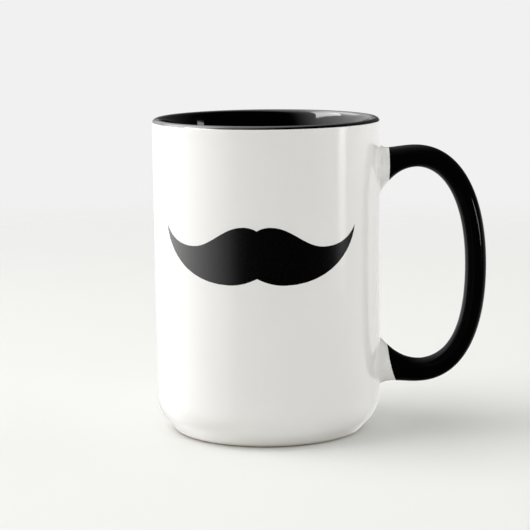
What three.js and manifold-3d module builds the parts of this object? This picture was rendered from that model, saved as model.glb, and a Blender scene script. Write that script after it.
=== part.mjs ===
// Tall two-tone stoneware coffee mug, in millimetres, +Z up, standing on z = 0.
// The handle points to +X and the front of the mug faces -Y.
// Bare clay pieces carry thin coats of glaze, and two beds of slip join the handle to the cup.

import * as THREE from 'three';
import { mergeVertices } from 'three/addons/utils/BufferGeometryUtils.js';
import Module from 'manifold-3d';

const wasm = await Module();
wasm.setup();

// Cup, finished sizes over the glaze
const CUP_HEIGHT = 119.35;
const CUP_DIAMETER = 86.4;
const WALL_TAPER = 0.5; // how much less the wall measures across where it meets the base corner
const LIP_THICKNESS = 3.2;
const LIP_FLARE = 10; // degrees that the inside leans out where it runs into the lip
const WALL_THICKNESS = 4.4; // below the flare
const FLOOR_THICKNESS = 6;
const INNER_CORNER_RADIUS = 9;

// Base of the cup
const BASE_CORNER_RADIUS = 13.4;
const BASE_SLOPE = 42.5; // degrees that the base leans in from upright
const FOOT_INSET = 8.2; // wall to the outer edge of the flat that stands on the table
const FOOT_WIDTH = 4;
const FOOT_EDGE_RADIUS = 0.8;
const FOOT_RECESS = 2.2;
const RECESS_FILLET = 1;

// Glaze
const GLAZE_THICKNESS = 0.4;
const RIM_LINE_ANGLE = 14.5; // degrees up the lip's outer curve, where black meets white
const BARE_FOOT_HEIGHT = 0.7; // clay left dry above the table
const UPPER_LINE = { outer: 0.656, inner: 0.659 }; // colour line, as a share of the way from crest to wall
const LOWER_LINE = { outer: 0.425, inner: 0.707 };

// Handle loop, finished sizes over the glaze
const HANDLE_STANDOFF = 40.9; // wall to the outermost point
const CREST_STANDOFF = 13.8; // wall to the highest and lowest points
const STRAP_TOP = 8.39; // thickness at the top, the side and the bottom of the loop
const STRAP_SIDE = 8.06;
const STRAP_BOTTOM = 8.72;
const STRAP_WIDTH = 13;
const SIDE_DROP = 0.7; // outermost point below the middle of the loop
const STRAP_SQUARENESS = 2.3; // exponent of the oval section: 2 is an ellipse
const UPPER_FULLNESS = 0.613; // Bezier handle length: 0.552 is an ellipse
const LOWER_FULLNESS = 0.65;

// Handle roots, finished sizes over the glaze
const UPPER_ROOT_DROP = 10.5; // rim to the top of the upper root
const UPPER_ROOT_HEIGHT = 18.4;
const LOWER_ROOT_RISE = 2.4; // base corner to the bottom of the lower root
const LOWER_ROOT_HEIGHT = 19.55;
const ROOT_WIDTH = 19;
const UPPER_ROOT_FLARE = 0.2; // how far the root's outer edge spreads past the strap
const LOWER_ROOT_FLARE = 1.37;
const ROOT_RUN = 7; // how far the strap runs level from the crest towards the wall
const ROOT_TOE = 2; // the flare leaves the wall over this distance
const ROOT_LEAN = 2.8; // and draws in by this much
const FLARE_REACH = 10; // distance from the wall over which the strap widens

// Luted joints and clearances
const SLIP_THICKNESS = 0.6;
const SEAT_GAP = 0.15; // pieces seated on a round wall
const HOLE_CLEARANCE = 0.2; // wall coat round the slip beds

// Facets
const TURN_SEGMENTS = 48;
const CORNER_STEPS = 5;
const LIP_STEPS = 3;
const EDGE_STEPS = 2;
const SECTION_SIDES = 20;
const LOOP_STEPS = 8;
const ROOT_STEPS = 3;
const CAP_RINGS = 3;
const MERGE_DISTANCE = 1e-4;

const radians = THREE.MathUtils.degToRad;

// Places worked out from the sizes, all measured from the cup's own axis
const LOWER_DIAMETER = CUP_DIAMETER - WALL_TAPER;
const FOOT_DIAMETER = LOWER_DIAMETER - 2 * FOOT_INSET;

const lipRadius = LIP_THICKNESS / 2 - GLAZE_THICKNESS;
const lipCentre = new THREE.Vector2((CUP_DIAMETER - LIP_THICKNESS) / 2, CUP_HEIGHT - LIP_THICKNESS / 2);

const flare = radians(LIP_FLARE);
const flareReach = (WALL_THICKNESS - LIP_THICKNESS) / (1 - Math.cos(flare));
const flareRadius = lipRadius + flareReach;
const flareCentre = new THREE.Vector2(
  lipCentre.x + flareReach * Math.cos(flare),
  lipCentre.y - flareReach * Math.sin(flare),
);

const slope = radians(BASE_SLOPE);
const footRadius = FOOT_DIAMETER / 2;
const cornerRadius = BASE_CORNER_RADIUS - GLAZE_THICKNESS;
const cornerX = LOWER_DIAMETER / 2 - BASE_CORNER_RADIUS;
const slopeRun = cornerX - footRadius + (cornerRadius - FOOT_EDGE_RADIUS) * Math.cos(slope);
const cornerZ = FOOT_EDGE_RADIUS + (cornerRadius - FOOT_EDGE_RADIUS) * Math.sin(slope)
  + slopeRun / Math.tan(slope);
const cornerCentre = new THREE.Vector2(cornerX, cornerZ);

const floorHeight = FOOT_RECESS + FLOOR_THICKNESS - 2 * GLAZE_THICKNESS;
const innerCornerRadius = INNER_CORNER_RADIUS + GLAZE_THICKNESS;
const innerCornerCentre = new THREE.Vector2(
  LOWER_DIAMETER / 2 - WALL_THICKNESS - INNER_CORNER_RADIUS,
  floorHeight + innerCornerRadius,
);
const recessRadius = footRadius - FOOT_WIDTH - FOOT_EDGE_RADIUS;

// Radius of the glazed outside of the wall at a height
function wallRadius(z) {
  const climb = (z - cornerCentre.y) / (lipCentre.y - cornerCentre.y);
  return THREE.MathUtils.lerp(LOWER_DIAMETER, CUP_DIAMETER, climb) / 2;
}

// Points along an arc in the plane of radius and height, angles in degrees from the outward direction
function arc(centre, radius, from, to, steps) {
  const points = [];
  for (let i = 0; i <= steps; i += 1) {
    const angle = radians(THREE.MathUtils.lerp(from, to, i / steps));
    points.push(new THREE.Vector2(Math.cos(angle), Math.sin(angle)).multiplyScalar(radius).add(centre));
  }
  return points;
}

// A solid turned about the cup's axis from a profile of radius and height
function turned(profile) {
  return new THREE.LatheGeometry(profile, TURN_SEGMENTS).rotateX(Math.PI / 2);
}

// The outside from the dry line at the foot up to the colour line at the lip, at a distance off the clay
function outerSide(coat) {
  const alongSlope = (BARE_FOOT_HEIGHT - FOOT_EDGE_RADIUS * (1 - Math.sin(slope))) / Math.cos(slope);
  const dryLine = new THREE.Vector2(
    footRadius + (FOOT_EDGE_RADIUS + coat) * Math.cos(slope) + alongSlope * Math.sin(slope),
    BARE_FOOT_HEIGHT - coat * Math.sin(slope),
  );
  return [
    dryLine,
    ...arc(cornerCentre, cornerRadius + coat, -BASE_SLOPE, 0, CORNER_STEPS),
    ...arc(lipCentre, lipRadius + coat, 0, RIM_LINE_ANGLE, EDGE_STEPS),
  ];
}

// The inside from the colour line at the lip down to the middle of the floor, at a distance off the clay
function innerSide(coat) {
  return [
    ...arc(lipCentre, lipRadius + coat, RIM_LINE_ANGLE, 90, LIP_STEPS),
    ...arc(lipCentre, lipRadius + coat, 90, 180 - LIP_FLARE, LIP_STEPS).slice(1),
    ...arc(flareCentre, flareRadius + coat, 180 - LIP_FLARE, 180, EDGE_STEPS).slice(1),
    ...arc(innerCornerCentre, innerCornerRadius - coat, 0, -90, CORNER_STEPS),
    new THREE.Vector2(0, floorHeight + coat),
  ];
}

// The recess under the floor and the foot ring, from the axis out to the sloping base
function underside() {
  const filletCentre = new THREE.Vector2(recessRadius - RECESS_FILLET, FOOT_RECESS - RECESS_FILLET);
  const innerEdge = new THREE.Vector2(recessRadius + FOOT_EDGE_RADIUS, FOOT_EDGE_RADIUS);
  const outerEdge = new THREE.Vector2(footRadius, FOOT_EDGE_RADIUS);
  return [
    new THREE.Vector2(0, FOOT_RECESS),
    ...arc(filletCentre, RECESS_FILLET, 90, 0, EDGE_STEPS),
    ...arc(innerEdge, FOOT_EDGE_RADIUS, 180, 270, EDGE_STEPS),
    ...arc(outerEdge, FOOT_EDGE_RADIUS, -90, -BASE_SLOPE, EDGE_STEPS),
  ];
}

function cupBody() {
  return turned([...underside(), ...outerSide(0), ...innerSide(0).slice(1)]);
}

function innerGlaze() {
  return turned([...innerSide(0).reverse(), ...innerSide(GLAZE_THICKNESS)]);
}

function undersideGlaze() {
  const edge = recessRadius - RECESS_FILLET;
  const face = FOOT_RECESS - GLAZE_THICKNESS;
  return turned([
    new THREE.Vector2(0, face),
    new THREE.Vector2(edge, face),
    new THREE.Vector2(edge, FOOT_RECESS),
    new THREE.Vector2(0, FOOT_RECESS),
  ]);
}

// One edge of the loop from a crest to the side, level at the crest and upright at the side
function loopEdge(crest, side, fullness) {
  return new THREE.CubicBezierCurve(
    crest,
    new THREE.Vector2(THREE.MathUtils.lerp(crest.x, side.x, fullness), crest.y),
    new THREE.Vector2(side.x, THREE.MathUtils.lerp(side.y, crest.y, fullness)),
    side,
  );
}

// One edge of a root from a crest to the wall, flaring where it meets the wall
function rootEdge(crest, wallHeight, inward) {
  const wall = wallRadius(wallHeight);
  return new THREE.CubicBezierCurve(
    crest,
    new THREE.Vector2(crest.x - ROOT_RUN, crest.y),
    new THREE.Vector2(wall + ROOT_TOE, wallHeight + inward * ROOT_LEAN),
    new THREE.Vector2(wall, wallHeight),
  );
}

// The outer and inner edges of the handle, as four spans between the roots
function handleSpans() {
  const wall = CUP_DIAMETER / 2;
  const crestX = wall + CREST_STANDOFF;
  const sideX = wall + HANDLE_STANDOFF;
  const upperTop = CUP_HEIGHT - UPPER_ROOT_DROP;
  const lowerBottom = cornerCentre.y + LOWER_ROOT_RISE;
  const top = upperTop - UPPER_ROOT_FLARE;
  const bottom = lowerBottom + LOWER_ROOT_FLARE;
  const middle = (top + bottom) / 2 - SIDE_DROP;
  const outer = {
    top: new THREE.Vector2(crestX, top),
    side: new THREE.Vector2(sideX, middle),
    bottom: new THREE.Vector2(crestX, bottom),
  };
  const inner = {
    top: new THREE.Vector2(crestX, top - STRAP_TOP),
    side: new THREE.Vector2(sideX - STRAP_SIDE, middle),
    bottom: new THREE.Vector2(crestX, bottom + STRAP_BOTTOM),
  };
  return {
    upperRoot: {
      outer: rootEdge(outer.top, upperTop, -1),
      inner: rootEdge(inner.top, upperTop - UPPER_ROOT_HEIGHT, 1),
    },
    upperLoop: {
      outer: loopEdge(outer.top, outer.side, UPPER_FULLNESS),
      inner: loopEdge(inner.top, inner.side, UPPER_FULLNESS),
    },
    lowerLoop: {
      outer: loopEdge(outer.bottom, outer.side, LOWER_FULLNESS),
      inner: loopEdge(inner.bottom, inner.side, LOWER_FULLNESS),
    },
    lowerRoot: {
      outer: rootEdge(outer.bottom, lowerBottom, 1),
      inner: rootEdge(inner.bottom, lowerBottom + LOWER_ROOT_HEIGHT, -1),
    },
  };
}

// One cross section of the handle: its middle, the way across the strap, its thickness and its width
function station(span, outerShare, innerShare) {
  const outer = span.outer.getPoint(outerShare);
  const inner = span.inner.getPoint(innerShare);
  const middle = outer.clone().add(inner).divideScalar(2);
  const standoff = middle.x - wallRadius(middle.y);
  const nearness = Math.max(0, 1 - standoff / FLARE_REACH);
  return {
    middle,
    nearness,
    across: outer.clone().sub(inner).normalize(),
    thickness: outer.distanceTo(inner),
    width: STRAP_WIDTH + (ROOT_WIDTH - STRAP_WIDTH) * nearness ** 3,
  };
}

// Cross sections along a root, from the wall to the colour line and on to the crest
function rootStations(span, line) {
  const stations = [];
  for (let i = 0; i < ROOT_STEPS; i += 1) {
    const share = i / ROOT_STEPS;
    stations.push(station(
      span,
      THREE.MathUtils.lerp(1, line.outer, share),
      THREE.MathUtils.lerp(1, line.inner, share),
    ));
  }
  for (let i = 0; i < ROOT_STEPS; i += 1) {
    const share = 1 - i / ROOT_STEPS;
    stations.push(station(span, line.outer * share, line.inner * share));
  }
  return stations;
}

function loopStations(span) {
  const stations = [];
  for (let i = 0; i < LOOP_STEPS; i += 1) {
    stations.push(station(span, i / LOOP_STEPS, i / LOOP_STEPS));
  }
  return stations;
}

// All cross sections from the upper root round the loop to the lower root
function handleStations() {
  const spans = handleSpans();
  const side = station(spans.lowerLoop, 1, 1);
  return [
    ...rootStations(spans.upperRoot, UPPER_LINE),
    ...loopStations(spans.upperLoop),
    side,
    ...loopStations(spans.lowerLoop).reverse(),
    ...rootStations(spans.lowerRoot, LOWER_LINE).reverse(),
  ];
}

// The oval outline of a cross section, inset under the glaze and scaled about its middle
function sectionOutline(section, inset, scale = 1) {
  const power = 2 / STRAP_SQUARENESS;
  const outline = [];
  for (let i = 0; i < SECTION_SIDES; i += 1) {
    const angle = (2 * Math.PI * i) / SECTION_SIDES;
    const along = Math.sign(Math.cos(angle)) * Math.abs(Math.cos(angle)) ** power;
    const aside = Math.sign(Math.sin(angle)) * Math.abs(Math.sin(angle)) ** power;
    const reach = along * (section.thickness / 2 - inset) * scale;
    outline.push(new THREE.Vector3(
      section.middle.x + section.across.x * reach,
      -aside * (section.width / 2 - inset) * scale,
      section.middle.y + section.across.y * reach,
    ));
  }
  return outline;
}

// A ring of the handle's surface, drawn back round the wall where it is close to it
function handleRing(section, inset) {
  return sectionOutline(section, inset).map((point) => {
    const wall = wallRadius(point.z);
    const drawnBack = wall - Math.sqrt(wall ** 2 - point.y ** 2);
    return point.setX(point.x - drawnBack * section.nearness ** 2);
  });
}

// A ring of a root's end, laid on a cylinder round the wall
function seatRing(section, inset, offWall, scale = 1) {
  return sectionOutline(section, inset, scale).map((point) => {
    const radius = wallRadius(point.z) + offWall;
    return point.setX(Math.sqrt(radius ** 2 - point.y ** 2));
  });
}

// The rings of a root's end face, from its middle out to its rim
function seatFace(section, offWall) {
  const rings = [];
  for (let i = 0; i <= CAP_RINGS; i += 1) {
    rings.push(seatRing(section, GLAZE_THICKNESS, offWall, i / CAP_RINGS));
  }
  return rings;
}

// A skin drawn through rings of points, in order. Each quad is split along its shorter diagonal, so that
// two skins through the same rings are the same facet for facet, whichever way they run.
function loft(rings) {
  const points = rings.flat();
  const index = [];
  for (let ring = 0; ring < rings.length - 1; ring += 1) {
    for (let side = 0; side < SECTION_SIDES; side += 1) {
      const next = (side + 1) % SECTION_SIDES;
      const a = ring * SECTION_SIDES + side;
      const b = ring * SECTION_SIDES + next;
      const c = a + SECTION_SIDES;
      const d = b + SECTION_SIDES;
      if (points[a].distanceTo(points[d]) < points[b].distanceTo(points[c])) {
        index.push(a, b, d, a, d, c);
      } else {
        index.push(a, b, c, b, d, c);
      }
    }
  }
  const geometry = new THREE.BufferGeometry();
  geometry.setFromPoints(points);
  geometry.setIndex(index);
  geometry.computeVertexNormals();
  return geometry;
}

const sections = handleStations();
const upperEnd = sections[0];
const lowerEnd = sections[sections.length - 1];
const upperLine = ROOT_STEPS;
const lowerLine = sections.length - 1 - ROOT_STEPS;
const slipSeat = -GLAZE_THICKNESS + SEAT_GAP;
const handleSeat = slipSeat + SLIP_THICKNESS;

function handle() {
  return loft([
    ...seatFace(upperEnd, handleSeat),
    ...sections.slice(1, -1).map((section) => handleRing(section, GLAZE_THICKNESS)),
    ...seatFace(lowerEnd, handleSeat).reverse(),
  ]);
}

function handleGlaze() {
  const covered = sections.slice(upperLine, lowerLine + 1);
  const outside = covered.map((section) => handleRing(section, 0));
  const inside = covered.map((section) => handleRing(section, GLAZE_THICKNESS));
  return loft([...outside, ...inside.reverse(), outside[0]]);
}

function upperRootGlaze() {
  const covered = sections.slice(1, upperLine + 1);
  const outside = [
    seatRing(upperEnd, 0, SEAT_GAP),
    ...covered.map((section) => handleRing(section, 0)),
  ];
  const inside = [
    seatRing(upperEnd, GLAZE_THICKNESS, SEAT_GAP),
    seatRing(upperEnd, GLAZE_THICKNESS, handleSeat),
    ...covered.map((section) => handleRing(section, GLAZE_THICKNESS)),
  ];
  return loft([...outside, ...inside.reverse(), outside[0]]);
}

function lowerRootGlaze() {
  const covered = sections.slice(lowerLine, -1);
  const outside = [
    ...covered.map((section) => handleRing(section, 0)),
    seatRing(lowerEnd, 0, SEAT_GAP),
  ];
  const inside = [
    ...covered.map((section) => handleRing(section, GLAZE_THICKNESS)),
    seatRing(lowerEnd, GLAZE_THICKNESS, handleSeat),
    seatRing(lowerEnd, GLAZE_THICKNESS, SEAT_GAP),
  ];
  return loft([...outside, ...inside.reverse(), outside[0]]);
}

function slipJoint(end, direction) {
  const rings = [...seatFace(end, slipSeat), ...seatFace(end, handleSeat).reverse()];
  return loft(direction > 0 ? rings : rings.reverse());
}

// The hole through the wall coat where a slip bed passes, from inside the clay to outside the coat
function slipHole(end, direction) {
  const inset = GLAZE_THICKNESS - HOLE_CLEARANCE;
  const inside = -3 * GLAZE_THICKNESS;
  const outside = GLAZE_THICKNESS;
  const rings = [
    seatRing(end, inset, inside, 0),
    seatRing(end, inset, inside),
    seatRing(end, inset, outside),
    seatRing(end, inset, outside, 0),
  ];
  return loft(direction > 0 ? rings : rings.reverse());
}

function toSolid(geometry) {
  const bare = geometry.clone();
  bare.deleteAttribute('normal');
  bare.deleteAttribute('uv');
  const merged = mergeVertices(bare, MERGE_DISTANCE);
  return new wasm.Manifold(new wasm.Mesh({
    numProp: 3,
    vertProperties: Float32Array.from(merged.attributes.position.array),
    triVerts: Uint32Array.from(merged.index.array),
  }));
}

function fromSolid(solid) {
  const mesh = solid.getMesh();
  const geometry = new THREE.BufferGeometry();
  geometry.setAttribute('position', new THREE.BufferAttribute(mesh.vertProperties, 3));
  geometry.setIndex(new THREE.BufferAttribute(mesh.triVerts, 1));
  geometry.computeVertexNormals();
  return geometry;
}

function outerGlaze() {
  const profile = [...outerSide(GLAZE_THICKNESS), ...outerSide(0).reverse()];
  const coat = toSolid(turned([...profile, profile[0]]));
  const upperHole = toSolid(slipHole(upperEnd, 1));
  const lowerHole = toSolid(slipHole(lowerEnd, -1));
  return fromSolid(coat.subtract(upperHole).subtract(lowerHole));
}

const stoneware = new THREE.MeshStandardMaterial({ color: 0xe6dfd2, roughness: 0.7, metalness: 0 });
const slip = new THREE.MeshStandardMaterial({ color: 0xd8cfc0, roughness: 0.8, metalness: 0 });
const whiteGlaze = new THREE.MeshStandardMaterial({ color: 0xf4f3f0, roughness: 0.12, metalness: 0 });
const blackGlaze = new THREE.MeshStandardMaterial({ color: 0x0b0b0c, roughness: 0.08, metalness: 0 });

const mug = new THREE.Group();
const aboutCupAxis = new THREE.Group();
aboutCupAxis.position.x = -HANDLE_STANDOFF / 2;
mug.add(aboutCupAxis);

function addPiece(name, geometry, material) {
  const mesh = new THREE.Mesh(geometry, material);
  mesh.name = name;
  aboutCupAxis.add(mesh);
}

addPiece('cup_body', cupBody(), stoneware);
addPiece('inner_glaze', innerGlaze(), blackGlaze);
addPiece('outer_glaze', outerGlaze(), whiteGlaze);
addPiece('underside_glaze', undersideGlaze(), whiteGlaze);
addPiece('upper_slip_joint', slipJoint(upperEnd, 1), slip);
addPiece('lower_slip_joint', slipJoint(lowerEnd, -1), slip);
addPiece('handle', handle(), stoneware);
addPiece('handle_glaze', handleGlaze(), blackGlaze);
addPiece('upper_root_glaze', upperRootGlaze(), whiteGlaze);
addPiece('lower_root_glaze', lowerRootGlaze(), whiteGlaze);

export default mug;
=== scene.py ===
import math

import bmesh
import bpy
from mathutils import Matrix, Vector
from mathutils.geometry import interpolate_bezier


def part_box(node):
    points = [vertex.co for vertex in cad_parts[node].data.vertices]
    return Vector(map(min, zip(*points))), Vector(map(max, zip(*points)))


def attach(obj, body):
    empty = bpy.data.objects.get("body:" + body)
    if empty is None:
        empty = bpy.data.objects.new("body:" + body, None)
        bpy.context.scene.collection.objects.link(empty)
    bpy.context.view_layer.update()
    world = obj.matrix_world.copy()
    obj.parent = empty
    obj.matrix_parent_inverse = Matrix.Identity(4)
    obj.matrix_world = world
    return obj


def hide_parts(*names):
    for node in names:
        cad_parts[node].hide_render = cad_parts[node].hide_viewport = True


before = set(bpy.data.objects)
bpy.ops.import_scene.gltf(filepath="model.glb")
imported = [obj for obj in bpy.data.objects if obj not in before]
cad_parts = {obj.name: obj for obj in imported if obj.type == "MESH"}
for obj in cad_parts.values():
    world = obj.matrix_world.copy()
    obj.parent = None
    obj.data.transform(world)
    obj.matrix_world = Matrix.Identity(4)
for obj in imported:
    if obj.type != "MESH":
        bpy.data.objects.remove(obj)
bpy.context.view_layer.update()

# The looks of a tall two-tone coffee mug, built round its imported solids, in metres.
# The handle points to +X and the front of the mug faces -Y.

MM = 0.001

# Cup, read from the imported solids
wall_low, wall_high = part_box("outer_glaze")
lining_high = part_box("inner_glaze")[1]
AXIS_X = (wall_low.x + wall_high.x) / 2
CUP_RADIUS = (wall_high.y - wall_low.y) / 2
CUP_HEIGHT = lining_high.z

# Cup, finished sizes over the glaze
WALL_TAPER = 0.25 * MM  # how far the wall draws in by the base corner
LIP_THICKNESS = 3.2 * MM
LIP_FLARE = 10  # degrees that the inside leans out where it runs into the lip
WALL_THICKNESS = 4.4 * MM
FLOOR_THICKNESS = 6 * MM
INNER_CORNER_RADIUS = 9 * MM
BASE_CORNER_RADIUS = 13.4 * MM
BASE_SLOPE = 42.5  # degrees that the base leans in from upright
FOOT_INSET = 8.2 * MM
FOOT_WIDTH = 4 * MM
FOOT_EDGE_RADIUS = 0.8 * MM
FOOT_RECESS = 2.2 * MM
RECESS_FILLET = 1 * MM
GLAZE_THICKNESS = 0.4 * MM
GLAZE_BEAD = 0.28 * MM  # rounding of the coat's edge in the recess
CLAY_CLEARANCE = 0.15 * MM  # keeps the hidden clay of the handle clear of its coat
SLIP_INSET = 2 * MM  # keeps the hidden slip clear of the coat on the root
RIM_LINE_ANGLE = 14.5  # degrees up the lip's outer curve, where black meets white

# Handle loop, finished sizes over the glaze, with heights above the table
LOOP_TOP = 108.65 * MM
LOOP_SIDE = 62 * MM  # height of the outermost point
LOOP_BOTTOM = 16.97 * MM
LOOP_STANDOFF = 40.78 * MM  # wall to the outermost point
TOP_STANDOFF = 13.5 * MM  # wall to the highest and the lowest point
BOTTOM_STANDOFF = 14.1 * MM
STRAP_TOP = 8.39 * MM  # thickness at the top, the side and the bottom of the loop
STRAP_SIDE = 8.06 * MM
STRAP_BOTTOM = 8.72 * MM
STRAP_WIDTH = 13 * MM
STRAP_SQUARENESS = 2.05  # roundness of the strap's section: 2 is an ellipse, more is squarer
UPPER_FULLNESS = (0.616, 0.609)  # Bezier handle length of the outer and inner edge: 0.552 is an ellipse
LOWER_FULLNESS = (0.631, 0.667)

# Handle roots
UPPER_ROOT_TOP = 108.85 * MM
UPPER_ROOT_BOTTOM = 90.45 * MM
LOWER_ROOT_TOP = 35.15 * MM
LOWER_ROOT_BOTTOM = 15.6 * MM
ROOT_WIDTH = 19 * MM
ROOT_RUN = 7 * MM  # how far the strap runs level from the crest towards the wall
ROOT_TOE = 2 * MM  # the flare leaves the wall over this distance
ROOT_LEAN = 2.8 * MM  # and draws in by this much
ROOT_END = 0.85  # where the strap's own form ends and the fillet to the wall begins, as a share of the root
FLARE_REACH = 10 * MM  # distance from the wall over which the strap widens
FLARE_CURVE = 3  # power of the widening, which makes it steepest at the wall
TOE_SPREAD = 1 * MM  # how far the soft toe runs out past the root
UPPER_LINE = (0.656, 0.659)  # colour line on the outer and inner edge, as a share of the way to the wall
LOWER_LINE = (0.425, 0.707)
UPPER_SWING = 0.09 * MM  # how far the colour line swings away from the wall over the sides of the strap
LOWER_SWING = -0.9 * MM

# Mesh steps
TURN_STEPS = 64
PATCH_STEPS = 5  # faces along each side of the wall patch that opens into a root
CORNER_STEPS = 6
LIP_STEPS = 4
RIM_STEPS = 2  # rings from the upper root to the lip, and on the lip up to the colour line
FLOOR_STEPS = 4  # rings from the inner corner to the middle of the floor
WALL_STEPS = 2 * PATCH_STEPS
FILLET_STEPS = 2
FILLET_SOFTNESS = 1.0
ROOT_STEPS = 3
LOOP_STEPS = 12
SMOOTHING = 2
CLAY_SMOOTHING = 1
SMOOTH_ANGLE = math.radians(35)
MERGE_DISTANCE = 0.01 * MM

# Print on the front, measured along the wall from the middle of the figure
PRINT_AZIMUTH = -4.9  # degrees round from straight ahead
PRINT_TOP = 82.95 * MM
PRINT_BOTTOM = 61.7 * MM
PRINT_NOTCH_TOP = 81.6 * MM
PRINT_NOTCH_BOTTOM = 64.3 * MM
PRINT_CREST = 4.9 * MM
PRINT_DIP = 25.9 * MM
PRINT_DIP_HEIGHT = 75.2 * MM
PRINT_TIP = 40.1 * MM
PRINT_TIP_HEIGHT = 82.1 * MM
PRINT_BELLY = 10.3 * MM
NOTCH_PULL = Vector((1.3, 0, 0.9)) * MM  # pulls of the outline's curves at the points that they leave
CREST_PULLS = (1.7 * MM, 8 * MM)  # level, towards the notch and towards the dip
DIP_PULLS = (8.4 * MM, 6.9 * MM)  # level, towards the crest and towards the tip
TIP_UPPER_PULL = Vector((-2.7, 0, -4.1)) * MM
TIP_LOWER_PULL = Vector((-1.1, 0, -8.7)) * MM
BELLY_PULLS = (17.3 * MM, 4.3 * MM)  # level, towards the tip and towards the lower notch
LOWER_NOTCH_PULL = Vector((2.6, 0, -1.3)) * MM
PRINT_THICKNESS = 0.03 * MM
PRINT_PROUD = 0.03 * MM  # middle of the ink above the wall
PRINT_STRIP = 1 * MM
PRINT_STEPS = 12

# Finishes, with the real sizes of their patterns in millimetres
GLAZE_DRIFT = 22  # slow drift of tone where the glaze pooled or ran thin
GLAZE_WAVE = 7  # low waves that the glaze keeps from running in the kiln
THIN_AND_SHADED_EDGE = 1.1 * MM  # height above the dry line over which the clay warms the thin glaze, and painted contact shade darkens it
LIP_BREAK = 0.5 * MM  # depth below the top of the lip where the black turns brown
PRINT_GRAIN = 3  # the screen's own grain is near 0.3, too fine to show, so it is drawn ten times as coarse
CLAY_GRAIN = 1.2
CLAY_SPECK = 2.5  # distance between iron specks
FOOT_WEAR_AND_SHADE = 0.6 * MM  # height of the grey band that tables rub on to the foot ring, which also paints the contact shade under the foot
WHITE_TONES = ("#f3f2ef", "#efeeeb")
# warm thin white above the dry line, also painted contact shade at the table
THIN_WHITE_AND_CONTACT_SHADE = "#ddd2bf"
BLACK_TONES = ("#050505", "#030303")
THIN_BLACK = "#120d09"
INK_TONES = ("#050505", "#020202")
CLAY_TONES = ("#e6dfd2", "#d9d0c1")
SLIP_TONES = ("#d8cfc0", "#ccc2b1")
SPECK_COLOUR = "#7a6a58"
SPECK_EDGE = (0.08, 0.14)  # a speck fades out between these shares of the distance to the next
SPECK_STRENGTH = 0.6
# grey of the rubbed foot ring, also painted contact shade where it meets the table
WORN_AND_SHADED_COLOUR = "#8d857a"
WHITE_ROUGHNESS = (0.11, 0.15)
BLACK_ROUGHNESS = (0.05, 0.08)
INK_ROUGHNESS = (0.24, 0.3)
CLAY_ROUGHNESS = (0.7, 0.9)
PAPER_ROUGHNESS = 0.9
WAVE_BUMP = {"Strength": 0.2, "Distance": 0.02 * MM}
GRAIN_BUMP = {"Strength": 0.5, "Distance": 0.05 * MM}
GRAIN_DETAIL = 4
GLAZE_IOR = 1.5
WHITE_SHINE = 0.5
LINING_SHINE = 0.5
HANDLE_SHINE = 0.012  # the handle mirrors far less than the lining
PRINT_SHINE = 0.42

# Camera, in front of the cup's axis
IMAGE_PIXELS = 530
FOCAL_PIXELS = 1899.9
SENSOR_WIDTH = 36
CAMERA_DISTANCE = 719.5 * MM
CAMERA_HEIGHT = 175.2 * MM
CAMERA_PITCH = 8.885  # degrees down
CAMERA_YAW = 0.065
CAMERA_ROLL = -0.512

# Studio
FLOOR_SIZE = 4
FLOOR_FADE = (0.3, 0.8)  # the floor fades into the plain pale background between these distances
FLOOR_COLOUR = "#ebebe8"
BACKGROUND_COLOUR = "#f1f1f1"

# Soft lamps that light the mug and the floor, with directions in degrees to the right of the camera and up
AIM_HEIGHT = 0.05  # they point at the cup's axis at this height
KEY_POWER = 7.2
KEY_DIRECTION = (-90, 57)
KEY_DISTANCE = 1.2
KEY_SIZE = (0.8, 0.8)
FILL_POWER = 6.4
FILL_DIRECTION = (105, 12)
FILL_DISTANCE = 1.2
FILL_SIZE = (1.4, 1.2)
FRONT_POWER = 1.1
FRONT_DIRECTION = (-62, 22)
FRONT_DISTANCE = 1.2
FRONT_SIZE = (0.8, 0.8)

# Panes and strips of light that only show in the glaze
WINDOW_POWER = 3.7
WINDOW_PLACE = (-0.5, 0.1, -0.15)
WINDOW_SIZE = (2.2, 0.5)
WINDOW_SPREAD = 120  # degrees
WIDE_SPREAD = 180
PANE_POWER = 42
PANE_DIRECTION = (-77, 24.6)
PANE_DISTANCE = 2
PANE_SIZE = (1.25, 0.94)
STRIP_DIRECTION = 80.5
STRIP_DISTANCE = 1.5
STRIP_WIDTH = 0.24
STRIP_HEIGHTS = (-0.17, -0.03, 0.33)  # the strip is dim up to the middle height, and bright above it
STRIP_POWERS = (0.24, 1.25)
GLINT_POWER = 28  # the glint shows on the handle alone, as its one thin highlight
GLINT_DIRECTION = 75
GLINT_HEIGHT = 0.165
GLINT_SIZE = (0.24, 0.4)

# The room around, as even light and as it shows in the glaze
ROOM_LIGHT = 0.625
SKY_DIRECTION = (-108, 40)
SKY_GLOWS = ((2.8, 75), (6.5, 35))  # brightness at the middle, and degrees off it where that has faded out
ROOM_GLOW = 0.12
TABLE_GLOW = 0.95  # the far table
NEAR_GLOW = (2.0, 0.15)  # the near table, lit to the left and in the mug's shadow to the right
BEHIND = (-0.2, 0.6)  # how far a mirrored direction points away from the camera as the room comes into view
HORIZON = (-0.05, 0.1)  # how far up it points from the table to the room
SHADOW_SIDE = (-0.6, 0.2)  # how far right it points from the lit to the shaded table
FAR_TABLE = (-0.75, -0.35)  # how far up it points from the near to the far table

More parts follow.
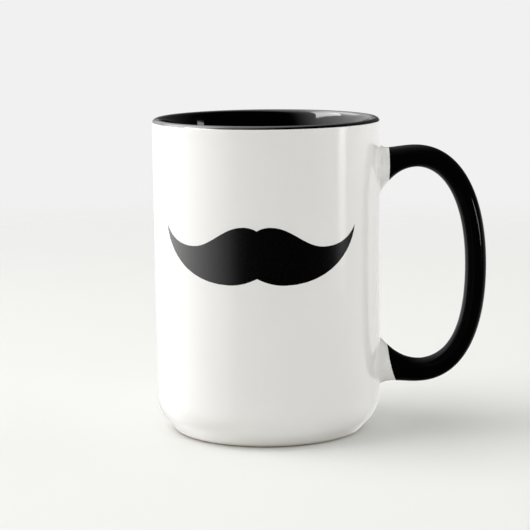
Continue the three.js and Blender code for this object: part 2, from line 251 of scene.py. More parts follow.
half_step = math.pi / TURN_STEPS
ring_step = 2 * math.pi / (4 * PATCH_STEPS)
ROUND_SWELL = 3 / (2 + math.cos(2 * half_step))  # makes up for what smoothing takes off a ring
STRAP_SWELL = 3 / (2 + math.cos(ring_step))
patch_half_angle = PATCH_STEPS * half_step
slope = math.radians(BASE_SLOPE)
lower_radius = CUP_RADIUS - WALL_TAPER
foot_radius = lower_radius - FOOT_INSET
lip_centre = (CUP_RADIUS - LIP_THICKNESS / 2, CUP_HEIGHT - LIP_THICKNESS / 2)
corner_x = lower_radius - BASE_CORNER_RADIUS
clay_corner = BASE_CORNER_RADIUS - GLAZE_THICKNESS - FOOT_EDGE_RADIUS
slope_run = corner_x - foot_radius + clay_corner * math.cos(slope)
corner_centre = (
    corner_x,
    FOOT_EDGE_RADIUS + clay_corner * math.sin(slope) + slope_run / math.tan(slope),
)
flare = math.radians(LIP_FLARE)
flare_reach = (WALL_THICKNESS - LIP_THICKNESS) / (1 - math.cos(flare))
flare_centre = (
    lip_centre[0] + flare_reach * math.cos(flare),
    lip_centre[1] - flare_reach * math.sin(flare),
)
floor_height = FOOT_RECESS + FLOOR_THICKNESS - GLAZE_THICKNESS
inner_corner_centre = (
    lower_radius - WALL_THICKNESS - INNER_CORNER_RADIUS,
    floor_height + INNER_CORNER_RADIUS,
)
recess_radius = foot_radius - FOOT_WIDTH - FOOT_EDGE_RADIUS
wall_side = AXIS_X + CUP_RADIUS
rim_line_height = lip_centre[1] + LIP_THICKNESS / 2 * math.sin(math.radians(RIM_LINE_ANGLE))


# Working with operators

def rest_hands():
    """Leaves edit mode and lets go of everything."""
    if bpy.context.object and bpy.context.object.mode != "OBJECT":
        bpy.ops.object.mode_set(mode="OBJECT")
    bpy.ops.object.select_all(action="DESELECT")


def take(piece):
    """Makes one piece the only selected and active one."""
    rest_hands()
    piece.select_set(True)
    bpy.context.view_layer.objects.active = piece


def open_up(piece):
    take(piece)
    bpy.ops.object.mode_set(mode="EDIT")


def close_up(piece, name):
    """Leaves edit mode with the piece named and its place in its mesh."""
    bpy.ops.object.mode_set(mode="OBJECT")
    bpy.ops.object.transform_apply(location=True, rotation=True, scale=True)
    piece.name = name
    piece.data.name = name
    return piece


def pick(piece, kind, wanted):
    """Selects the vertices, edges or faces of the open piece that a test picks out."""
    bpy.ops.mesh.select_mode(type=kind)
    bpy.ops.mesh.select_all(action="DESELECT")
    mesh = bmesh.from_edit_mesh(piece.data)
    parts = {"VERT": mesh.verts, "EDGE": mesh.edges, "FACE": mesh.faces}[kind]
    for part in parts:
        if wanted(part):
            part.select_set(True)
    bmesh.update_edit_mesh(piece.data)


def finish_with(piece, kind, **settings):
    """Adds one modifier and applies it."""
    take(piece)
    modifier = piece.modifiers.new(kind.lower(), kind)
    for name, value in settings.items():
        setattr(modifier, name, value)
    bpy.ops.object.modifier_apply(modifier=modifier.name)


def face_outwards():
    """Turns all faces of the open piece outwards."""
    bpy.ops.mesh.select_all(action="SELECT")
    bpy.ops.mesh.normals_make_consistent(inside=False)


def cap_ends(piece):
    """Closes the open ends of a piece and leaves edit mode."""
    pick(piece, "EDGE", lambda edge: edge.is_boundary)
    bpy.ops.mesh.edge_face_add()
    face_outwards()
    bpy.ops.object.mode_set(mode="OBJECT")


def smooth(piece):
    take(piece)
    bpy.ops.object.shade_smooth_by_angle(angle=SMOOTH_ANGLE)


# Profiles of the cup, as points of radius and height

def arc(centre, radius, start, end, steps):
    """Points along an arc, with angles in degrees up from straight out."""
    points = []
    for i in range(steps + 1):
        angle = math.radians(start + (end - start) * i / steps)
        points.append((centre[0] + radius * math.cos(angle), centre[1] + radius * math.sin(angle)))
    return points


def spaced(start, end, steps):
    return [start + (end - start) * i / steps for i in range(steps + 1)]


def wall_radius(height):
    climb = (height - corner_centre[1]) / (lip_centre[1] - corner_centre[1])
    return lower_radius + WALL_TAPER * climb


def toe_heights(root_bottom, root_top):
    return spaced(root_bottom - TOE_SPREAD, root_top + TOE_SPREAD, PATCH_STEPS)


def outside_profile():
    """From the dry line at the foot up the wall to the colour line on the lip."""
    base = arc(corner_centre, BASE_CORNER_RADIUS, -BASE_SLOPE, 0, CORNER_STEPS)
    run = (base[0][1] - wall_low.z) / math.cos(slope)
    dry_line = (base[0][0] - run * math.sin(slope), wall_low.z)
    lower_toe = toe_heights(LOWER_ROOT_BOTTOM, LOWER_ROOT_TOP)
    upper_toe = toe_heights(UPPER_ROOT_BOTTOM, UPPER_ROOT_TOP)
    between = spaced(lower_toe[-1], upper_toe[0], WALL_STEPS)
    above = spaced(upper_toe[-1], lip_centre[1], RIM_STEPS)
    heights = lower_toe + between[1:-1] + upper_toe + above[1:-1]
    middle_of_slope = ((dry_line[0] + base[0][0]) / 2, (dry_line[1] + base[0][1]) / 2)
    wall = [(wall_radius(height), height) for height in heights]
    lip = arc(lip_centre, LIP_THICKNESS / 2, 0, RIM_LINE_ANGLE, RIM_STEPS)
    return [dry_line, middle_of_slope] + base + wall + lip


def inside_profile():
    """From the colour line over the lip and down to the middle of the floor."""
    over = arc(lip_centre, LIP_THICKNESS / 2, RIM_LINE_ANGLE, 90, LIP_STEPS)
    under = arc(lip_centre, LIP_THICKNESS / 2, 90, 180 - LIP_FLARE, LIP_STEPS)
    lean = arc(flare_centre, flare_reach + LIP_THICKNESS / 2, 180 - LIP_FLARE, 180, 2 * FILLET_STEPS)
    corner = arc(inner_corner_centre, INNER_CORNER_RADIUS, 0, -90, CORNER_STEPS)
    heights = spaced(lean[-1][1], corner[0][1], WALL_STEPS)[1:-1]
    radii = spaced(lean[-1][0], corner[0][0], WALL_STEPS)[1:-1]
    wall = list(zip(radii, heights))
    floor = [(radius, floor_height) for radius in spaced(corner[-1][0], 0, FLOOR_STEPS)[1:]]
    return over[1:] + under[1:] + lean[1:] + wall + corner + floor


def drawn(points):
    """Draws a line of points out from one vertex and leaves the piece open, with the line selected."""
    rest_hands()
    bpy.ops.mesh.primitive_plane_add(size=MM)
    piece = bpy.context.object
    bpy.ops.object.mode_set(mode="EDIT")
    bpy.ops.mesh.select_mode(type="VERT")
    bpy.ops.mesh.select_all(action="SELECT")
    bpy.ops.mesh.merge(type="CENTER")
    bpy.ops.transform.translate(value=points[0])
    for here, there in zip(points, points[1:]):
        bpy.ops.mesh.extrude_region_move(TRANSFORM_OT_translate={"value": there - here})
    bpy.ops.mesh.select_all(action="SELECT")
    return piece


def turned(profile, steps):
    """Draws a profile and spins it round the cup's axis."""
    outward = Vector((math.cos(half_step), math.sin(half_step), 0))
    piece = drawn([Vector((AXIS_X, 0, height)) + outward * radius for radius, height in profile])
    bpy.ops.mesh.spin(steps=steps, angle=2 * math.pi, center=(AXIS_X, 0, 0), axis=(0, 0, 1))
    bpy.ops.mesh.select_all(action="SELECT")
    bpy.ops.mesh.remove_doubles(threshold=MERGE_DISTANCE)
    face_outwards()
    return piece


# The handle, as cross sections in the plane of the cup's axis and the handle

def wall_x(height):
    return AXIS_X + wall_radius(height)


def along(curve, share):
    """The point at a share of the way along a cubic Bezier curve."""
    start, first, second, end = curve
    left = 1 - share
    return (start * left ** 3 + first * (3 * share * left ** 2)
            + second * (3 * share ** 2 * left) + end * share ** 3)


def loop_edge(crest, side, fullness):
    """One edge of the loop, level at the crest and upright at the side."""
    return (
        crest,
        Vector((crest.x + (side.x - crest.x) * fullness, 0, crest.z)),
        Vector((side.x, 0, side.z + (crest.z - side.z) * fullness)),
        side,
    )


def root_edge(crest, wall_height, inward):
    """One edge of a root, flaring where it meets the wall."""
    wall = wall_x(wall_height)
    return (
        crest,
        Vector((crest.x - ROOT_RUN, 0, crest.z)),
        Vector((wall + ROOT_TOE, 0, wall_height + inward * ROOT_LEAN)),
        Vector((wall, 0, wall_height)),
    )


def handle_spans():
    """The outer and inner edges of the handle, as four spans between the roots."""
    outer_top = Vector((wall_side + TOP_STANDOFF, 0, LOOP_TOP))
    outer_side = Vector((wall_side + LOOP_STANDOFF, 0, LOOP_SIDE))
    outer_bottom = Vector((wall_side + BOTTOM_STANDOFF, 0, LOOP_BOTTOM))
    inner_top = outer_top - Vector((0, 0, STRAP_TOP))
    inner_side = outer_side - Vector((STRAP_SIDE, 0, 0))
    inner_bottom = outer_bottom + Vector((0, 0, STRAP_BOTTOM))
    return {
        "upper_root": (
            root_edge(outer_top, UPPER_ROOT_TOP, -1),
            root_edge(inner_top, UPPER_ROOT_BOTTOM, 1),
        ),
        "upper_loop": (
            loop_edge(outer_top, outer_side, UPPER_FULLNESS[0]),
            loop_edge(inner_top, inner_side, UPPER_FULLNESS[1]),
        ),
        "lower_loop": (
            loop_edge(outer_bottom, outer_side, LOWER_FULLNESS[0]),
            loop_edge(inner_bottom, inner_side, LOWER_FULLNESS[1]),
        ),
        "lower_root": (
            root_edge(outer_bottom, LOWER_ROOT_BOTTOM, 1),
            root_edge(inner_bottom, LOWER_ROOT_TOP, -1),
        ),
    }


def section(span, outer_share, inner_share):
    """One cross section: its middle, how far it leans, its thickness and its width."""
    outer = along(span[0], outer_share)
    inner = along(span[1], inner_share)
    middle = (outer + inner) / 2
    across = outer - inner
    nearness = max(0, 1 - (middle.x - wall_x(middle.z)) / FLARE_REACH)
    return {
        "middle": middle,
        "lean": math.atan2(across.z, across.x),
        "thickness": across.length,
        "width": STRAP_WIDTH + (ROOT_WIDTH - STRAP_WIDTH) * nearness ** FLARE_CURVE,
    }


def root_sections(span, line):
    """Cross sections from near the wall to the colour line and on to the crest."""
    outer_shares = spaced(ROOT_END, line[0], ROOT_STEPS) + spaced(line[0], 0, ROOT_STEPS)[1:-1]
    inner_shares = spaced(ROOT_END, line[1], ROOT_STEPS) + spaced(line[1], 0, ROOT_STEPS)[1:-1]
    return [section(span, outer, inner) for outer, inner in zip(outer_shares, inner_shares)]


def loop_sections(span):
    return [section(span, share, share) for share in spaced(0, 1, LOOP_STEPS)[:-1]]


def handle_sections():
    """All cross sections from the upper root round the loop to the lower root."""
    spans = handle_spans()
    side = section(spans["lower_loop"], 1, 1)
    return (
        root_sections(spans["upper_root"], UPPER_LINE)
        + loop_sections(spans["upper_loop"])
        + [side]
        + loop_sections(spans["lower_loop"])[::-1]
        + root_sections(spans["lower_root"], LOWER_LINE)[::-1]
    )


def strap(sections, inset):
    """Draws a rounded oblong through the cross sections of the handle, open at both ends."""
    first = sections[0]
    rest_hands()
    bpy.ops.mesh.primitive_circle_add(vertices=4 * PATCH_STEPS, radius=1, rotation=(0, 0, ring_step / 2))
    piece = bpy.context.object
    bpy.ops.object.transform_apply(rotation=True)
    for vertex in piece.data.vertices:
        vertex.co.x = math.copysign(abs(vertex.co.x) ** (2 / STRAP_SQUARENESS), vertex.co.x)
        vertex.co.y = math.copysign(abs(vertex.co.y) ** (2 / STRAP_SQUARENESS), vertex.co.y)
    bpy.ops.object.mode_set(mode="EDIT")
    bpy.ops.mesh.select_all(action="SELECT")
    bpy.ops.transform.resize(value=ring_size(first, inset), center_override=(0, 0, 0))
    bpy.ops.transform.translate(value=first["middle"])
    lean_ring(first, 1)
    for here, there in zip(sections, sections[1:]):
        shift = there["middle"] - here["middle"]
        bpy.ops.mesh.extrude_edges_move(TRANSFORM_OT_translate={"value": shift})
        lean_ring(dict(here, middle=there["middle"]), -1)
        before = ring_size(here, inset)
        after = ring_size(there, inset)
        grow = (after[0] / before[0], after[1] / before[1], 1)
        bpy.ops.transform.resize(value=grow, center_override=there["middle"])
        lean_ring(there, 1)
    return piece


def ring_size(place, inset):
    """Half the thickness and half the width of a cross section, with what smoothing will take off."""
    thickness = place["thickness"] / 2 - inset
    width = place["width"] / 2 - inset
    return thickness * STRAP_SWELL, width * STRAP_SWELL, 1


def whiten_root(loop, line, outward, swing):
    """Bends a colour line over the sides of the strap and turns what lies between it and the wall white."""
    across = Vector((math.cos(line["lean"]), 0, math.sin(line["lean"])))
    run = Vector((abs(across.z), 0, -across.x * math.copysign(1, across.z)))

    def beyond_line(place):
        return (place - line["middle"]).dot(run)

    def white_side(face):
        place = face.calc_center_median()
        in_root = (place.z - LOOP_SIDE) * outward > 0 and place.x < wall_side + TOP_STANDOFF
        return in_root and beyond_line(place) < 0

    pick(loop, "FACE", white_side)
    loop.active_material_index = 1
    bpy.ops.object.material_slot_assign()
    mesh = bmesh.from_edit_mesh(loop.data)
    for vertex in mesh.verts:
        if abs(beyond_line(vertex.co)) < MERGE_DISTANCE and (vertex.co.z - LOOP_SIDE) * outward > 0:
            vertex.co += run * swing * (2 * vertex.co.y / line["width"]) ** 2
    bmesh.update_edit_mesh(loop.data)


def lean_ring(place, way):
    """Leans the selected ring of the strap from level to its cross section, or back."""
    bpy.ops.transform.rotate(value=way * place["lean"], orient_axis="Y", center_override=place["middle"])


# The glazed skin, modelled as one surface and then parted along the colour lines

def around(place):
    """Angle round the cup's axis from the handle's direction."""
    return math.atan2(place.y, place.x - AXIS_X)


def off_axis(place):
    return math.hypot(place.x - AXIS_X, place.y)


def open_wall(skin, heights):
    """Takes out the wall under a root and draws the opening round, along the wall."""
    low, high = heights[0], heights[-1]
    middle, half = (low + high) / 2, (high - low) / 2

    def under_root(face):
        place = face.calc_center_median()
        outside = off_axis(place) > lip_centre[0]
        return outside and low < place.z < high and abs(around(place)) < patch_half_angle

    pick(skin, "FACE", under_root)
    bpy.ops.mesh.delete(type="FACE")
    mesh = bmesh.from_edit_mesh(skin.data)
    for vertex in mesh.verts:
        near = low - MM < vertex.co.z < high + MM
        if not (vertex.is_boundary and near):
            continue
        aside = around(vertex.co) / patch_half_angle
        up = (vertex.co.z - middle) / half
        angle = patch_half_angle * aside * math.sqrt(1 - up ** 2 / 2)
        height = middle + half * up * math.sqrt(1 - aside ** 2 / 2)
        radius = wall_radius(height) * ROUND_SWELL
        vertex.co = (AXIS_X + radius * math.cos(angle), radius * math.sin(angle), height)
    bmesh.update_edit_mesh(skin.data)


def bridge_root(skin, heights):
    """Joins the opening in the wall and the near end of the strap with a soft fillet."""
    inner_limit = AXIS_X + lip_centre[0] * math.cos(patch_half_angle)

    def open_edge(edge):
        places = [vertex.co for vertex in edge.verts]
        in_reach = all(heights[0] - MM < p.z < heights[-1] + MM and p.x > inner_limit for p in places)
        return edge.is_boundary and in_reach

    pick(skin, "EDGE", open_edge)
    bpy.ops.mesh.bridge_edge_loops(
        number_cuts=FILLET_STEPS, interpolation="SURFACE", smoothness=FILLET_SOFTNESS)
    bpy.ops.object.material_slot_assign()


def glazed_skin(white, black):
    """The whole glazed surface, with a white outside and a black lining, lip and handle."""
    profile = [(radius * ROUND_SWELL, height) for radius, height in outside_profile() + inside_profile()]
    skin = turned(profile, TURN_STEPS)
    skin.data.materials.append(white)
    skin.data.materials.append(black)

    def lined(face):
        place = face.calc_center_median()
        inside = off_axis(place) < lip_centre[0] and place.z > floor_height - GLAZE_THICKNESS
        return inside or place.z > rim_line_height

    pick(skin, "FACE", lined)
    skin.active_material_index = 1
    bpy.ops.object.material_slot_assign()
    upper_toe = toe_heights(UPPER_ROOT_BOTTOM, UPPER_ROOT_TOP)
    lower_toe = toe_heights(LOWER_ROOT_BOTTOM, LOWER_ROOT_TOP)
    open_wall(skin, upper_toe)
    open_wall(skin, lower_toe)
    sections = handle_sections()
    loop = strap(sections, 0)
    loop.data.materials.append(black)
    loop.data.materials.append(white)
    whiten_root(loop, sections[ROOT_STEPS], 1, UPPER_SWING)
    whiten_root(loop, sections[-1 - ROOT_STEPS], -1, LOWER_SWING)
    take(loop)
    skin.select_set(True)
    bpy.context.view_layer.objects.active = skin
    bpy.ops.object.join()
    open_up(skin)
    skin.active_material_index = 0
    bridge_root(skin, upper_toe)
    bridge_root(skin, lower_toe)
    face_outwards()
    bpy.ops.object.mode_set(mode="OBJECT")
    finish_with(skin, "SUBSURF", levels=SMOOTHING, render_levels=SMOOTHING)
    return skin


def part_colours(skin, black):
    """Parts the skin along the colour lines into the white coat, the black lining and the black loop."""
    open_up(skin)
    bpy.ops.mesh.select_all(action="SELECT")
    bpy.ops.mesh.separate(type="MATERIAL")
    bpy.ops.mesh.select_all(action="SELECT")
    bpy.ops.object.mode_set(mode="OBJECT")
    coats = list(bpy.context.selected_objects)
    black_coats = [coat for coat in coats if coat.data.materials[0] == black]
    white_coat = [coat for coat in coats if coat not in black_coats][0]
    open_up(black_coats[0])
    bpy.ops.mesh.select_all(action="SELECT")
    bpy.ops.mesh.separate(type="LOOSE")
    bpy.ops.object.mode_set(mode="OBJECT")
    black_coats = sorted(bpy.context.selected_objects, key=reach)
    return white_coat, black_coats[0], black_coats[1]


def reach(piece):
    """How far a piece reaches towards the handle's side."""
    return max(vertex.co.x for vertex in piece.data.vertices)


def coat(piece, name):
    """Gives a parted skin the thickness of the glaze, towards the clay."""
    finish_with(piece, "SOLIDIFY", thickness=GLAZE_THICKNESS, offset=-1, use_even_offset=True)
    smooth(piece)
    return close_up(piece, name)


# Bare clay under the coats

def cup_clay(clay):
    """The formed cup from the recess under its floor, round the foot ring and up to the lip."""
    edge_height = FOOT_EDGE_RADIUS
    fillet = (recess_radius - RECESS_FILLET, FOOT_RECESS - RECESS_FILLET)
    inner_edge = (recess_radius + FOOT_EDGE_RADIUS, edge_height)
    outer_edge = (foot_radius, edge_height)
    lip = LIP_THICKNESS / 2 - GLAZE_THICKNESS
    profile = (
        [(0, FOOT_RECESS)]
        + arc(fillet, RECESS_FILLET, 90, 0, CORNER_STEPS)
        + arc(inner_edge, FOOT_EDGE_RADIUS, 180, 270, CORNER_STEPS)
        + arc(outer_edge, FOOT_EDGE_RADIUS, -90, -BASE_SLOPE, CORNER_STEPS)
        + arc(corner_centre, BASE_CORNER_RADIUS - GLAZE_THICKNESS, -BASE_SLOPE, 0, CORNER_STEPS)
        + arc(lip_centre, lip, 0, 180 - LIP_FLARE, 2 * LIP_STEPS)
        + arc(flare_centre, flare_reach + lip, 180 - LIP_FLARE, 180, FILLET_STEPS)[1:]
        + arc(inner_corner_centre, INNER_CORNER_RADIUS + GLAZE_THICKNESS, 0, -90, CORNER_STEPS)
        + [(0, floor_height - GLAZE_THICKNESS)]
    )
    piece = turned(profile, 2 * TURN_STEPS)
    piece.data.materials.append(clay)
    smooth(piece)
    return close_up(piece, "cup_clay")


def handle_clay(clay):
    """The formed loop under its glaze, closed at both roots."""
    piece = strap(handle_sections(), GLAZE_THICKNESS + CLAY_CLEARANCE)
    cap_ends(piece)
    finish_with(piece, "SUBSURF", levels=CLAY_SMOOTHING, render_levels=CLAY_SMOOTHING)
    piece.data.materials.append(clay)
    smooth(piece)
    return close_up(piece, "handle_clay")


def slip_bed(slip, root, name):
    """The bed of slip that joins a root to the wall, hollowed to fit it."""
    span = handle_spans()[root]
    places = [section(span, share, share) for share in spaced(ROOT_END, 1, FILLET_STEPS)]
    piece = strap(places, SLIP_INSET)
    cap_ends(piece)
    depths = [vertex.co.x for vertex in piece.data.vertices]
    wall_end = min(depths)
    handle_end = max(depths)
    for vertex in piece.data.vertices:
        nearness = (handle_end - vertex.co.x) / (handle_end - wall_end)
        radius = wall_radius(vertex.co.z)
        hollow = radius - math.sqrt(radius ** 2 - vertex.co.y ** 2)
        vertex.co.x -= nearness * (hollow + GLAZE_THICKNESS)
    piece.data.materials.append(slip)
    smooth(piece)
    return close_up(piece, name)


def underside_coat(white):
    """The glaze in the recess inside the foot ring, rounded off at its edge."""
    edge = recess_radius - RECESS_FILLET
    face = FOOT_RECESS - GLAZE_THICKNESS
    profile = (
        [(0, face)]
        + arc((edge - GLAZE_BEAD, face + GLAZE_BEAD), GLAZE_BEAD, -90, 0, FILLET_STEPS)
        + [(edge, FOOT_RECESS), (0, FOOT_RECESS)]
    )
    piece = turned(profile, 2 * TURN_STEPS)
    piece.data.materials.append(white)
    smooth(piece)
    return close_up(piece, "underside_coat")


# The moustache print on the front

def print_outline():
    """The right half of a handlebar moustache, from the notch under the nose round to the lower notch."""
    notch = Vector((0, 0, PRINT_NOTCH_TOP))
    crest = Vector((PRINT_CREST, 0, PRINT_TOP))
    dip = Vector((PRINT_DIP, 0, PRINT_DIP_HEIGHT))
    tip = Vector((PRINT_TIP, 0, PRINT_TIP_HEIGHT))
    belly = Vector((PRINT_BELLY, 0, PRINT_BOTTOM))
    lower_notch = Vector((0, 0, PRINT_NOTCH_BOTTOM))
    out = Vector((1, 0, 0))
    spans = (
        (notch, notch + NOTCH_PULL, crest - out * CREST_PULLS[0], crest),
        (crest, crest + out * CREST_PULLS[1], dip - out * DIP_PULLS[0], dip),
        (dip, dip + out * DIP_PULLS[1], tip + TIP_UPPER_PULL, tip),
        (tip, tip + TIP_LOWER_PULL, belly + out * BELLY_PULLS[0], belly),
        (belly, belly - out * BELLY_PULLS[1], lower_notch + LOWER_NOTCH_PULL, lower_notch),
    )
    points = [notch]
    for span in spans:
        points += interpolate_bezier(*span, PRINT_STEPS + 1)[1:]
    return points


def front_print(ink):
    """Fills half the figure, cuts it into upright strips, mirrors it and lays it on the wall."""
    piece = drawn(print_outline())
    bpy.ops.mesh.edge_face_add()
    strips = math.ceil(PRINT_TIP / PRINT_STRIP)
    for i in range(1, strips):
        bpy.ops.mesh.select_all(action="SELECT")
        bpy.ops.mesh.bisect(plane_co=(i * PRINT_STRIP, 0, 0), plane_no=(1, 0, 0))
    bpy.ops.object.mode_set(mode="OBJECT")
    finish_with(piece, "MIRROR", use_axis=(True, False, False), merge_threshold=MERGE_DISTANCE)
    for vertex in piece.data.vertices:
        radius = wall_radius(vertex.co.z) + PRINT_PROUD
        angle = math.radians(PRINT_AZIMUTH) + vertex.co.x / radius
        vertex.co = (AXIS_X + radius * math.sin(angle), -radius * math.cos(angle), vertex.co.z)
    open_up(piece)
    face_outwards()
    bpy.ops.object.mode_set(mode="OBJECT")
    finish_with(piece, "SOLIDIFY", thickness=PRINT_THICKNESS, offset=0)
    piece.data.materials.append(ink)
    smooth(piece)
    return close_up(piece, "front_print")


# Finishes

def linear(colour):
    """An sRGB hex colour as linear red, green, blue and alpha."""
    channels = []
    for i in (1, 3, 5):
        value = int(colour[i:i + 2], 16) / 255
        channels.append(value / 12.92 if value <= 0.04045 else ((value + 0.055) / 1.055) ** 2.4)
    return (*channels, 1)


def add_node(tree, kind, inputs, **settings):
    """Adds a node with its settings; an input is a value or another node's output."""
    node = tree.nodes.new(kind)
    for name, value in settings.items():
        setattr(node, name, value)
    for name, value in inputs.items():
        if isinstance(value, bpy.types.NodeSocket):
            tree.links.new(value, node.inputs[name])
        else:
            node.inputs[name].default_value = value
    return node


def finish(name):
    """A new material and its tree, with only an output in it."""
    material = bpy.data.materials.new(name)
    material.use_nodes = True
    material.node_tree.nodes.clear()
    return material, material.node_tree


def per_metre(millimetres):
    """The texture scale that repeats about once in a real distance."""
    return 1 / (millimetres * MM)


def height_share(tree, place, low, high):
    """How far a place has climbed from a low to a high level, from 0 to 1."""
    height = add_node(tree, "ShaderNodeSeparateXYZ", {"Vector": place}).outputs["Z"]
    climb = add_node(tree, "ShaderNodeMapRange", {"Value": height, "From Min": low, "From Max": high})
    return climb.outputs[0]


def glossy_coat(tree, place, colour, wave_size, roughness, shine):
    """Ends a glaze: low waves bend its reflections and vary its gloss."""
    wave = add_node(tree, "ShaderNodeTexNoise", {
        "Vector": place, "Scale": per_metre(wave_size),
    }).outputs["Fac"]
    bump = add_node(tree, "ShaderNodeBump", {"Height": wave, **WAVE_BUMP})
    gloss = add_node(tree, "ShaderNodeMapRange", {
        "Value": wave, "To Min": roughness[0], "To Max": roughness[1],
    })
    shader = add_node(tree, "ShaderNodeBsdfPrincipled", {
        "Base Color": colour, "Roughness": gloss.outputs[0], "Normal": bump.outputs["Normal"],
        "IOR": GLAZE_IOR, "Specular IOR Level": shine,
    })
    add_node(tree, "ShaderNodeOutputMaterial", {"Surface": shader.outputs[0]})


def white_glaze():
    """Opaque white gloss glaze: spotless and faintly warm, with soft mirror images of lamps and room.

    It drifts a little in tone and runs thin above the dry line, where the clay warms it; that warm, darker
    band is also painted contact shade where the cup meets the table.
    """
    material, tree = finish("gloss_white_glaze")
    place = add_node(tree, "ShaderNodeTexCoord", {}).outputs["Object"]
    drift = add_node(tree, "ShaderNodeTexNoise", {"Vector": place, "Scale": per_metre(GLAZE_DRIFT)})
    body = add_node(tree, "ShaderNodeMix", {
        0: drift.outputs["Fac"], 6: linear(WHITE_TONES[0]), 7: linear(WHITE_TONES[1]),
    }, data_type="RGBA")
    # painted contact shade as well as real thin glaze: the white turns to the warm, darker thin white
    # towards the dry line
    thick_unshaded = height_share(tree, place, wall_low.z, wall_low.z + THIN_AND_SHADED_EDGE)
    colour = add_node(tree, "ShaderNodeMix", {
        0: thick_unshaded, 6: linear(THIN_WHITE_AND_CONTACT_SHADE), 7: body.outputs[2],
    }, data_type="RGBA")
    glossy_coat(tree, place, colour.outputs[2], GLAZE_WAVE, WHITE_ROUGHNESS, WHITE_SHINE)
    return material


def black_glaze(name, shine):
    """Black gloss glaze: so dark that only its mirror images show its form.

    It drifts between two blacks and turns brown where it thins over the top of the lip.
    """
    material, tree = finish(name)
    place = add_node(tree, "ShaderNodeTexCoord", {}).outputs["Object"]
    drift = add_node(tree, "ShaderNodeTexNoise", {"Vector": place, "Scale": per_metre(GLAZE_DRIFT)})
    body = add_node(tree, "ShaderNodeMix", {
        0: drift.outputs["Fac"], 6: linear(BLACK_TONES[0]), 7: linear(BLACK_TONES[1]),
    }, data_type="RGBA")
    thin = height_share(tree, place, CUP_HEIGHT - LIP_BREAK, CUP_HEIGHT)
    colour = add_node(tree, "ShaderNodeMix", {
        0: thin, 6: body.outputs[2], 7: linear(THIN_BLACK),
    }, data_type="RGBA")
    glossy_coat(tree, place, colour.outputs[2], GLAZE_WAVE, BLACK_ROUGHNESS, shine)
    return material


def print_ink():
    """Black enamel screened on to the glaze and fired: flat black, with a softer gloss than the glaze."""
    material, tree = finish("fired_black_enamel")
    place = add_node(tree, "ShaderNodeTexCoord", {}).outputs["Object"]
    grain = add_node(tree, "ShaderNodeTexNoise", {"Vector": place, "Scale": per_metre(PRINT_GRAIN)})
    colour = add_node(tree, "ShaderNodeMix", {
        0: grain.outputs["Fac"], 6: linear(INK_TONES[0]), 7: linear(INK_TONES[1]),
    }, data_type="RGBA")
    glossy_coat(tree, place, colour.outputs[2], PRINT_GRAIN, INK_ROUGHNESS, PRINT_SHINE)
    return material


def bare_stoneware(name, tones):
    """Fired clay without glaze: matt, sandy and warm, with iron specks, and rubbed grey where it stands, a
    grey that is also painted contact shade.
    """
    material, tree = finish(name)
    place = add_node(tree, "ShaderNodeTexCoord", {}).outputs["Object"]
    grain = add_node(tree, "ShaderNodeTexNoise", {
        "Vector": place, "Scale": per_metre(CLAY_GRAIN), "Detail": GRAIN_DETAIL,
    }).outputs["Fac"]
    sand = add_node(tree, "ShaderNodeMix", {
        0: grain, 6: linear(tones[0]), 7: linear(tones[1]),
    }, data_type="RGBA")
    spot = add_node(tree, "ShaderNodeTexVoronoi", {"Vector": place, "Scale": per_metre(CLAY_SPECK)})
    speck = add_node(tree, "ShaderNodeMapRange", {
        "Value": spot.outputs["Distance"], "From Min": SPECK_EDGE[0], "From Max": SPECK_EDGE[1],
        "To Min": SPECK_STRENGTH, "To Max": 0,
    })
    specked = add_node(tree, "ShaderNodeMix", {
        0: speck.outputs[0], 6: sand.outputs[2], 7: linear(SPECK_COLOUR),
    }, data_type="RGBA")
    # painted contact shade as well as real wear: the clay turns grey towards the table
    unworn_unshaded = height_share(tree, place, 0, FOOT_WEAR_AND_SHADE)
    colour = add_node(tree, "ShaderNodeMix", {
        0: unworn_unshaded, 6: linear(WORN_AND_SHADED_COLOUR), 7: specked.outputs[2],
    }, data_type="RGBA")
    bump = add_node(tree, "ShaderNodeBump", {"Height": grain, **GRAIN_BUMP})
    roughness = add_node(tree, "ShaderNodeMapRange", {
        "Value": grain, "To Min": CLAY_ROUGHNESS[0], "To Max": CLAY_ROUGHNESS[1],
    })
    shader = add_node(tree, "ShaderNodeBsdfPrincipled", {
        "Base Color": colour.outputs[2], "Roughness": roughness.outputs[0], "Normal": bump.outputs["Normal"],
    })
    add_node(tree, "ShaderNodeOutputMaterial", {"Surface": shader.outputs[0]})
    return material


def floor_paper():
    """Matt white paper: even and without gloss, fading into the background."""
    material, tree = finish("floor_paper")
    shader = add_node(tree, "ShaderNodeBsdfPrincipled", {
        "Base Color": linear(FLOOR_COLOUR), "Roughness": PAPER_ROUGHNESS, "Specular IOR Level": 0,
    })
    place = add_node(tree, "ShaderNodeTexCoord", {}).outputs["Object"]
    distance = add_node(tree, "ShaderNodeVectorMath", {0: place}, operation="LENGTH").outputs["Value"]
    fade = add_node(tree, "ShaderNodeMapRange", {
        "Value": distance, "From Min": FLOOR_FADE[0], "From Max": FLOOR_FADE[1],
    }, interpolation_type="SMOOTHSTEP")
    clear = add_node(tree, "ShaderNodeBsdfTransparent", {})
    faded = add_node(tree, "ShaderNodeMixShader", {
        0: fade.outputs[0], 1: shader.outputs[0], 2: clear.outputs[0],
    })
    add_node(tree, "ShaderNodeOutputMaterial", {"Surface": faded.outputs[0]})
    return material


# Stage

def stage_floor():
    """The plain pale floor, which the glaze doesn't mirror."""
    rest_hands()
    bpy.ops.mesh.primitive_plane_add(size=FLOOR_SIZE)
    floor = bpy.context.object
    floor.name = "floor"
    floor.data.materials.append(floor_paper())
    floor.visible_glossy = False


def towards(azimuth, elevation):
    """A direction seen from the cup, in degrees to the right of the camera and above the floor."""
    turn = math.radians(azimuth)
    rise = math.radians(elevation)
    return Vector((math.sin(turn) * math.cos(rise), -math.cos(turn) * math.cos(rise), math.sin(rise)))


